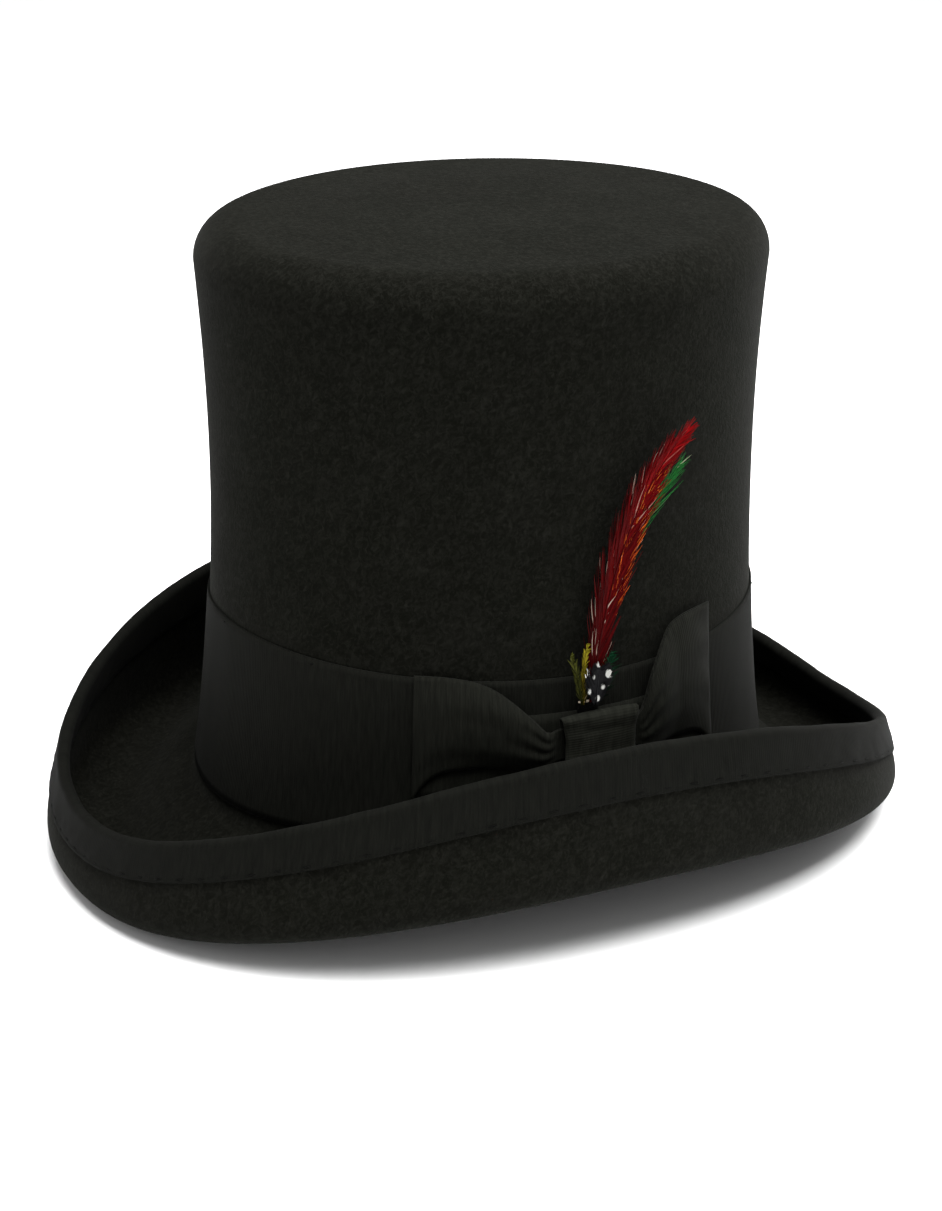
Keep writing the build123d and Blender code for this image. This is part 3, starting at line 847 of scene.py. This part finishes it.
def bowLoop(name, node, spec):
    # a folded loop of ribbon: p runs 0 to 1 from the knot along the front layer to the fold,
    # and 1 to 2 back along the rear layer
    def outline(t):
        # lower and upper edge at t, gathered to the neck's width at the knot
        grown = 1 - (1 - t) ** spec["steepness"]
        top = (spec["pinch"] + (spec["top"] - spec["pinch"]) * grown) * mm
        bottom = (spec["bottom"] - loops["droop"] * t ** loops["droopPower"]) * mm
        blend = smooth((t + loops["opensEarly"]) / loops["opensOver"])
        neckBottom, neckTop = loops["neckBottom"], loops["neckTop"]
        return neckBottom + (bottom - neckBottom) * blend, neckTop + (top - neckTop) * blend

    def pointAt(v, p):
        t = p if p <= 1 else 2 - p
        past = max(t, 0.0)
        bottom, top = outline(past)
        level = bottom + (top - bottom) * v
        turn = spec["inner"] + (spec["end"] - spec["inner"]) * t
        back = backOut + ribbonThickness + loops["spring"]
        neck = loops["neckReach"] / cos(radians(turn)) - hat["halfWidth"] - sideOffset(level)
        base = neck + (back - neck) * smooth(t / loops["settlesOver"])
        if p > 1:
            return sidePoint(turn, level, base + loops["rest"])
        puff = spec["puff"] * sin(pi * past ** loops["puffPower"])
        puff *= 1 - abs(2 * v - 1) ** loops["puffEdge"]
        # creases fan out from the knot
        crease = loops["crease"] * sin(v * spec["creases"] * pi + loops["creaseShift"])
        crease *= exp(-past * loops["creaseFade"]) * smooth(t * loops["creaseStart"])
        crumple = wave(loops["crumpleAcross"] * v, loops["crumpleAlong"] * t, spec["seed"])
        crease += loops["crumple"] * crumple * smooth(t * loops["crumpleStart"])
        fold = min(abs(p - 1) / loops["foldWidth"], 1.0)
        depth = (loops["slack"] + puff + crease) * fold ** 0.5
        return sidePoint(turn, level, base + loops["rest"] + depth)

    marks = [p for run in loops["runs"] for p in spread(*run)]
    half = ribbonThickness / 2
    piece = shell(name, pointAt, spread(0, 1, loops["rows"]), marks, half, half)
    finishPiece(piece, bowRibbonPaintedLighter, "hat", "black_grosgrain", node)


frontLoop = dict(end=bow["frontEnd"], inner=bow["knotFront"], top=60.3, pinch=36.0, bottom=29.0, steepness=3,
                 puff=3.6 * mm, creases=7, seed=2, flat=(0.040, 0.084))
rearLoop = dict(end=bow["rearEnd"], inner=bow["knotRear"], top=71.0, pinch=41.0, bottom=29.0, steepness=4,
                puff=3.6 * mm, creases=8, seed=5, flat=(0.052, 0.068))
knot = dict(depth=3.0 * mm, back=91.5 * mm, narrow=0.10, squareness=0.42, ends=0.05, rows=110, columns=25,
            lastRow=0.995, plump=0.9 * mm, dent=0.35 * mm, dentScale=420, crease=0.28 * mm, creaseScale=900,
            creaseSlant=1.2)


def buildKnot():
    # ribbon wrapped once round the bow's neck, so its ribs lie level
    middle = (bow["knotFront"] + bow["knotRear"]) / 2
    reach = hat["halfLength"] + sideOffset(bow["knotBottom"])
    width = reach * radians(bow["knotRear"] - bow["knotFront"])
    yMiddle = reach * sin(radians(middle))
    height = bow["knotTop"] - bow["knotBottom"]
    zMiddle = hat["restToCrown"] + (bow["knotTop"] + bow["knotBottom"]) / 2

    def pointAt(q, share):
        # q goes once round the wrap, 0 and 1 behind; share goes across the ribbon
        angle = 2 * pi * q
        across = 2 * share - 1
        narrow = 1 - knot["narrow"] * (1 - abs(sin(angle)) ** 0.5)
        x = knot["depth"] / 2 * signedPower(-cos(angle), knot["squareness"])
        z = height / 2 * signedPower(sin(angle), knot["squareness"]) * (1 - knot["ends"] * across ** 2)
        relief = knot["plump"] * (1 - across ** 4)
        relief += knot["dent"] * wave(2.0 * across, z * knot["dentScale"], 6)
        relief += knot["crease"] * sin(z * knot["creaseScale"] + across * knot["creaseSlant"])
        x += max(-cos(angle), 0) * relief
        y = across * width / 2 * narrow
        return Vector((knot["back"] + knot["depth"] / 2 + x, yMiddle + y, zMiddle + z))

    half = ribbonThickness / 2
    piece = shell("bowKnot", pointAt, spread(0, knot["lastRow"], knot["rows"]), spread(0, 1, knot["columns"]),
                  half, half)
    finishPiece(piece, knotRibbonPaintedLighter, "hat", "black_grosgrain", "bow_knot")


buildBowBack()
bowLoop("bowFrontLoop", "bow_front_loop", frontLoop)
bowLoop("bowRearLoop", "bow_rear_loop", rearLoop)
buildKnot()

# inside the crown: the sweatband with its reed, seam and small bow, the label and the lining
sweat = dict(height=55 * mm, below=1 * mm, leather=1.0 * mm, reed=1.1 * mm, reedLow=0.5 * mm, reedOut=0.2 * mm,
             lining=0.35 * mm, room=0.3 * mm, fade=5 * mm, rows=24, columns=240, reedSteps=200, sides=10,
             stitches=84, stitchLevel=4 * mm, stitchTurn=1.9, thread=0.25 * mm, sink=0.4 * mm)
seam = dict(turn=90.0, first=10, last=52, step=4, half=2 * mm, slant=0.9 * mm)


def insideOut(level, turn):
    above = max(level - footLevel(turn), 0)
    room = 2 * sweat["reed"] + sweat["room"]
    return -(hat["felt"] + 2 * layerGap + sweat["lining"] + room * exp(-above / sweat["fade"]))


def sweatFace(turn, above, gap=0):
    level = footLevel(turn) + above
    return sidePoint(turn, level, insideOut(level, turn) - sweat["leather"] - gap)


def buildSweatband():
    half = sweat["leather"] / 2

    def pointAt(s, turn):
        level = footLevel(turn) - sweat["below"] + sweat["height"] * s
        return sidePoint(turn, level, insideOut(level, turn) - half)

    turns = roundTurns(sweat["columns"])
    piece = shell("sweatband", pointAt, spread(0, 1, sweat["rows"]), turns, half, half, True)
    finishPiece(piece, leather, "hat", "sweatband_leather", "sweatband")
    places = []
    for i in range(sweat["stitches"]):
        turn = 360 * (i + 0.5) / sweat["stitches"]
        ends = [sweatFace(t, sweat["stitchLevel"]) for t in (turn, turn + sweat["stitchTurn"])]
        places.append((*ends, -outward(turn)))
    row = stitches("sweatbandStitches", places, sweat["thread"], sweat["sink"])
    finishPiece(row, brownThread, "hat", "sweatband_thread", "sweatband_stitches")
    places = []
    for above in range(seam["first"], seam["last"], seam["step"]):
        middle = sweatFace(seam["turn"], above * mm)
        for slant in (-seam["slant"], seam["slant"]):
            reach = Vector((seam["half"], 0, slant))
            places.append((middle - reach, middle + reach, -outward(seam["turn"])))
    join = stitches("sweatbandSeam", places, sweat["thread"], sweat["sink"])
    finishPiece(join, brownThread, "hat", "sweatband_thread", "sweatband_seam")


def buildReed():
    path = []
    for turn in roundTurns(sweat["reedSteps"]):
        level = footLevel(turn) - sweat["reedLow"]
        path.append(sidePoint(turn, level, insideOut(level, turn) + sweat["reed"] + sweat["reedOut"]))
    tube = tubeMesh([path], lambda share: sweat["reed"], sweat["sides"], ring=True)
    finishPiece(meshObject("sweatbandReed", *tube), reed, "hat", "reed", "sweatband_reed")


smallBow = dict(level=7.5 * mm, gap=1.1 * mm, reach=8 * mm, neck=0.8 * mm, spread=2.0 * mm, opening=1.4,
                bulge=0.7 * mm, crease=0.2 * mm, creases=9, rows=9, columns=41, half=0.2 * mm, knotSteps=25,
                knotOut=0.75 * mm, knotUp=1.5 * mm, knotRadius=0.55 * mm, knotSides=8)


def buildSweatbandBow():
    # a small ribbon bow over the join at the back: two wings and a knot
    size = smallBow
    centre = sweatFace(seam["turn"], size["level"], size["gap"])

    def pointAt(v, u):
        wing = abs(u)
        tall = size["neck"] + size["spread"] * smooth(wing * size["opening"])
        bulge = size["bulge"] * sin(pi * wing) + size["crease"] * sin(size["creases"] * v) * (1 - wing)
        return centre + Vector((size["reach"] * u, -bulge, tall * (2 * v - 1)))

    wings = shell("sweatbandBow", pointAt, spread(0, 1, size["rows"]), spread(-1, 1, size["columns"]),
                  size["half"], size["half"])
    finishPiece(wings, bowRibbonPaintedLighter, "hat", "black_grosgrain", "sweatband_bow")
    path = []
    for angle in spread(0, 2 * pi, size["knotSteps"]):
        out = size["half"] + size["knotOut"] * cos(angle)
        path.append(centre + Vector((0, -out, size["knotUp"] * sin(angle))))
    tube = tubeMesh([path], lambda share: size["knotRadius"], size["knotSides"])
    tie = meshObject("sweatbandBowKnot", *tube)
    tie.data.materials.append(bowRibbonPaintedLighter)
    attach(tie, "hat")


tab = dict(bottom=26 * mm, height=14 * mm, turns=(118, 129), rows=9, columns=17, thick=0.35 * mm)


def buildLabel():
    def pointAt(s, turn):
        return sweatFace(turn, tab["bottom"] + tab["height"] * s, layerGap)

    turns = spread(*tab["turns"], tab["columns"])
    piece = shell("sizeLabel", pointAt, spread(0, 1, tab["rows"]), turns, tab["thick"], 0)
    finishPiece(piece, label, "hat", "label_cloth", "size_label")


lining = dict(bottom=16 * mm, folds=0.55 * mm, foldScale=30, foldDrift=0.7, foldGrowth=2.2, foldStart=0.8,
              sideRows=36, tipRows=24, columns=360, sag=1.2 * mm, waver=0.2 * mm, waverScale=4,
              pipingUp=1.4 * mm, pipingIn=2.6 * mm, piping=0.8 * mm, pipingSides=10)


def buildLining():
    tipLevel = hat["sideHeight"] - hat["shoulder"]
    tipHeight = hat["restToCrown"] + hat["sideHeight"] - hat["felt"] - layerGap - sweat["lining"]

    def sideAt(s, turn):
        bottom = footLevel(turn) + lining["bottom"]
        # the lining is gathered towards the tip, so its folds deepen upwards
        folds = lining["folds"] * (1 + ringWave(turn, lining["foldScale"], lining["foldDrift"] * s))
        folds *= smooth(lining["foldGrowth"] * s - lining["foldStart"])
        inward = hat["felt"] + layerGap + sweat["lining"] + folds
        return sidePoint(turn, bottom + (tipLevel - bottom) * s, -inward)

    turns = roundTurns(lining["columns"])
    side = shell("liningSide", sideAt, spread(0, 1, lining["sideRows"]), turns, sweat["lining"], 0, True)
    finishPiece(side, satin, "hat", "lining_satin", "lining_side")
    reach = sideOffset(tipLevel) - hat["shoulder"]

    def tipAt(s, turn):
        sag = lining["sag"] * (1 - s ** 2) + lining["waver"] * ringWave(turn, lining["waverScale"] * s, 1)
        return ovalPoint(turn, reach, tipHeight - sag, s)

    rows = spread(0, 1, lining["tipRows"])
    tip = shell("liningTip", tipAt, rows, turns, sweat["lining"], 0, True, pole=True)
    finishPiece(tip, satin, "hat", "lining_satin", "lining_tip")
    inward = hat["felt"] + lining["pipingIn"]
    path = [sidePoint(turn, tipLevel + lining["pipingUp"], -inward) for turn in turns]
    tube = tubeMesh([path], lambda share: lining["piping"], lining["pipingSides"], ring=True)
    finishPiece(meshObject("liningPiping", *tube), satin, "hat", "lining_satin", "lining_piping")


buildSweatband()
buildReed()
buildSweatbandBow()
buildLabel()
buildLining()

# the feather mount: feathers on quills that are bound with thread behind the bow's knot
mount = dict(x=90.1 * mm, y=-6.0 * mm, quillBottom=30.0 * mm, wrapBottom=44.0 * mm, wrapTop=49.6 * mm,
             quillRadius=0.5 * mm, thinQuill=0.30 * mm, quillSwell=0.2 * mm, quillSteps=12, quillSides=10,
             pitch=1.5 * mm, count=5, windings=12, windingSteps=28, thread=0.24 * mm, wrapSquareness=0.7)
# barbs narrow from root to tip, leave the shaft wide and bend along it
barb = dict(rows=9, footShape=0.06, leastReach=0.25, reachRange=(0.78, 1.12), brokenRange=(0.3, 0.7),
            splaySpread=4, shade=(0.5, 0.2), leave=1.25, turnIn=0.75, taper=0.85, tilt=0.25, bendPower=1.5)
rachis = dict(every=4, thick=0.45, thinning=0.36, place=0.15, tone=0.25)


def shaftPoints(spec, count):
    # the shaft starts at lean degrees from upright and curls to lean + curl
    x, y, level = mount["x"] + spec["layer"] * mm, mount["y"] + spec["side"] * mm, mount["wrapTop"]
    points, tilts = [], []
    step = spec["length"] * mm / (count - 1)
    for share in spread(0, 1, count):
        tilt = radians(spec["lean"] + spec["curl"] * share ** spec["power"])
        points.append(Vector((x, y, hat["restToCrown"] + level)))
        tilts.append(tilt)
        y += step * sin(tilt)
        level += step * cos(tilt)
    return points, tilts


def buildFeather(name, node, slot, material, spec, flatUv=False):
    dice = random.Random(spec["seed"])
    count = spec["barbs"]
    shaft, tilts = shaftPoints(spec, count)
    points, faces, uvs, tones = [], [], [], []
    half = spec["barbWidth"] / 2 * mm
    for i in range(count):
        share = i / (count - 1)
        if share < spec["bare"]:
            continue
        full = (share - spec["bare"]) / (1 - spec["bare"])
        grown = min(barb["footShape"] + (1 - barb["footShape"]) * full, 1.0)
        shape = sin(pi * grown ** spec["fullness"]) ** spec["blunt"]
        for hand in (-1, 1):
            reach = spec["width"] / 2 * mm * (barb["leastReach"] + (1 - barb["leastReach"]) * shape)
            reach *= dice.uniform(*barb["reachRange"])
            if dice.random() < spec["gaps"]:
                reach *= dice.uniform(*barb["brokenRange"])
            splay = radians(dice.gauss(spec["splay"], barb["splaySpread"])) * hand
            depth = dice.gauss(0, spec["loose"]) * mm
            shade = min(max(dice.gauss(*barb["shade"]), 0), 1)
            length = reach / sin(radians(spec["splay"]))
            p = shaft[i].copy()
            heading = tilts[i] + splay * barb["leave"]
            for v in spread(0, 1, barb["rows"]):
                flat = Vector((barb["tilt"] * hand, cos(heading), -sin(heading)))
                sag = depth * v ** barb["bendPower"] + spec["cup"] * mm * v ** 2
                middle = p + Vector((sag, 0, 0))
                width = half * (1 - barb["taper"] * v ** 2)
                points += [middle - flat * width, middle + flat * width]
                uvs += [(q.y, q.z) for q in points[-2:]] if flatUv else [(share, v)] * 2
                tones += [shade] * 2
                if v > 0:
                    last = len(points) - 1
                    faces.append((last - 3, last - 2, last, last - 1))
                heading = tilts[i] + splay * (barb["leave"] - barb["turnIn"] * v)
                p = p + Vector((0, sin(heading), cos(heading))) * length / (barb["rows"] - 1)
    path = shaft[::rachis["every"]]
    tube, tubeFaces, _ = tubeMesh([path], lambda s: (rachis["thick"] - rachis["thinning"] * s) * mm)
    shift = len(points)
    points += tube
    faces += [tuple(shift + k for k in face) for face in tubeFaces]
    uvs += [(rachis["place"], 0)] * len(tube)
    tones += [rachis["tone"]] * len(tube)
    finishPiece(meshObject(name, points, faces, uvs, tones), material, "feather", slot, node)


# lengths in millimetres; the colours run from the feather's foot to its end
hackle = dict(side=0, layer=1.6, length=97, lean=7.5, curl=38, power=1.9, width=10.5, barbs=300, bare=0.02,
              fullness=0.72, blunt=0.8, splay=17, gaps=0.16, loose=0.7, barbWidth=0.45, cup=0.8, seed=11)
feathers = [
    ("redHackle", "red_feather", "red_feather",
     ((0.028, 0.0006, 0.0008), (0.055, 0.0008, 0.001), (0.13, 0.0018, 0.0025)), hackle),
    ("crimsonFeather", "crimson_feather", "red_feather",
     ((0.022, 0.0005, 0.001), (0.036, 0.0006, 0.001), (0.07, 0.001, 0.002)),
     dict(hackle, side=1.0, layer=0.2, length=90, lean=7, curl=30, width=11, barbs=170, seed=12, cup=0.4)),
    ("orangeFeather", "orange_feather", "orange_feather",
     ((0.08, 0.004, 0.002), (0.30, 0.045, 0.005), (0.38, 0.09, 0.008)),
     dict(hackle, side=2.4, layer=1.1, length=78, lean=9, curl=20, width=6.5, barbs=120, bare=0.35, seed=13,
          gaps=0.3)),
    ("greenFeather", "green_feather", "green_feather",
     ((0.002, 0.012, 0.003), (0.004, 0.03, 0.008), (0.010, 0.085, 0.016)),
     dict(hackle, side=3.0, layer=0.7, length=84, lean=8.5, curl=34, width=8, barbs=130, bare=0.66, seed=14,
          gaps=0.5, barbWidth=0.32, loose=0.9)),
    ("yellowFeather", "yellow_feather", "yellow_feather",
     ((0.06, 0.045, 0.004), (0.15, 0.12, 0.008), (0.26, 0.22, 0.015)),
     dict(hackle, side=-3.0, layer=2.4, length=21, lean=-3, curl=18, width=2.2, barbs=40, seed=15)),
    ("oliveFeather", "olive_feather", "yellow_feather",
     ((0.012, 0.013, 0.003), (0.030, 0.032, 0.006), (0.06, 0.065, 0.012)),
     dict(hackle, side=-3.6, layer=2.8, length=19, lean=-12, curl=-6, width=3, barbs=40, seed=16)),
    ("greenDown", "green_down", "green_feather",
     ((0.001, 0.006, 0.003), (0.002, 0.014, 0.006), (0.004, 0.03, 0.012)),
     dict(hackle, side=3.4, layer=2.2, length=17, lean=10, curl=10, width=8, barbs=60, seed=17, loose=1.4,
          splay=45, gaps=0.4, barbWidth=0.35)),
]
guinea = dict(hackle, side=0.8, layer=4.0, length=12.5, lean=3, curl=10, width=10, barbs=60, bare=0.0, seed=18,
              fullness=0.62, blunt=0.6, splay=38, gaps=0.05, loose=0.35, barbWidth=0.8)


def buildFeathers():
    for name, node, slot, colours, spec in feathers:
        buildFeather(name, node, slot, featherMaterial(name + " colour", *colours), spec)
    buildFeather("guineaFeather", "guinea_feather", "guinea_feather", guineaMaterial(), guinea, flatUv=True)


def buildQuills():
    paths = []
    levels = spread(mount["quillBottom"], mount["wrapTop"], mount["quillSteps"])
    for i in range(mount["count"]):
        y = mount["y"] + (i - (mount["count"] - 1) / 2) * mount["pitch"]
        paths.append([Vector((mount["x"], y, hat["restToCrown"] + level)) for level in levels])
    thin, swell = mount["thinQuill"], mount["quillSwell"]
    tube = tubeMesh(paths, lambda share: thin + swell * share, mount["quillSides"])
    finishPiece(meshObject("featherQuills", *tube), quillMaterial(), "feather", "quill", "feather_quills")


def buildQuillWrap():
    # thread wound round the five quills
    path = []
    radius = mount["thread"]
    halfWidth = (mount["count"] - 1) / 2 * mount["pitch"] + mount["quillRadius"] + radius
    halfDepth = mount["quillRadius"] + radius
    steps = mount["windings"] * mount["windingSteps"]
    levels = spread(mount["wrapBottom"] + radius, mount["wrapTop"] - radius, steps + 1)
    for i, level in enumerate(levels):
        angle = 2 * pi * i / mount["windingSteps"]
        path.append(Vector((
            mount["x"] + halfDepth * sin(angle),
            mount["y"] + halfWidth * signedPower(cos(angle), mount["wrapSquareness"]),
            hat["restToCrown"] + level,
        )))
    piece = meshObject("quillWrap", *tubeMesh([path], lambda share: radius))
    finishPiece(piece, blackThread, "feather", "black_thread", "quill_wrap")


buildFeathers()
buildQuills()
buildQuillWrap()

# the floor, the light and the camera
studio = dict(floor=14.0, tone=(0.92, 0.92, 0.92, 1), roughness=0.9, skyStrength=0.48, aim=(0, 0, 0.12))
softboxes = [
    dict(name="topSoftbox", place=(0.30, 0.10, 1.5), size=(1.4, 1.4), power=76),
    dict(name="backStrip", place=(-0.5, 1.3, 0.7), size=(0.5, 1.2), power=12),
    dict(name="frontFill", place=(0.9, -1.5, 1.0), size=(1.2, 1.2), power=3),
]
view = dict(place=(0.8284, -0.4189, 0.4498), turn=63.391, pitch=21.741, roll=0.551, lens=83.94, sensor=36)


def buildStudio():
    half = studio["floor"] / 2
    corners = [(-half, -half, 0), (half, -half, 0), (half, half, 0), (-half, half, 0)]
    floor = meshObject("floor", corners, [(0, 1, 2, 3)])
    material, _, _ = newMaterial("pale floor", Base_Color=studio["tone"], Specular_IOR_Level=0.1,
                                 Roughness=studio["roughness"])
    floor.data.materials.append(material)
    world = bpy.data.worlds.new("soft sky")
    world.use_nodes = True
    background = world.node_tree.nodes["Background"]
    setInputs(background, Color=(1, 1, 1, 1), Strength=studio["skyStrength"])
    bpy.context.scene.world = world


def buildLights():
    for spec in softboxes:
        light = bpy.data.lights.new(spec["name"], "AREA")
        light.shape = "RECTANGLE"
        light.size, light.size_y = spec["size"]
        light.energy = spec["power"]
        lamp = bpy.data.objects.new(spec["name"], light)
        lamp.location = spec["place"]
        aim = Vector(studio["aim"]) - Vector(spec["place"])
        lamp.rotation_euler = aim.to_track_quat("-Z", "Y").to_euler()
        bpy.context.scene.collection.objects.link(lamp)


def buildCamera():
    turn, pitch, roll = radians(view["turn"]), radians(view["pitch"]), radians(view["roll"])
    forward = Vector((-sin(turn) * cos(pitch), cos(turn) * cos(pitch), -sin(pitch)))
    right = Vector((cos(turn), sin(turn), 0))
    up = right.cross(forward)
    across = right * cos(roll) + up * sin(roll)
    above = up * cos(roll) - right * sin(roll)
    data = bpy.data.cameras.new("camera")
    data.lens, data.sensor_width = view["lens"], view["sensor"]
    camera = bpy.data.objects.new("camera", data)
    columns = zip(across, above, -forward, view["place"])
    camera.matrix_world = Matrix((*columns, (0, 0, 0, 1)))
    bpy.context.scene.collection.objects.link(camera)
    bpy.context.scene.camera = camera


buildStudio()
buildLights()
buildCamera()
bpy.context.scene.view_settings.view_transform = "Standard"
print("studio done")
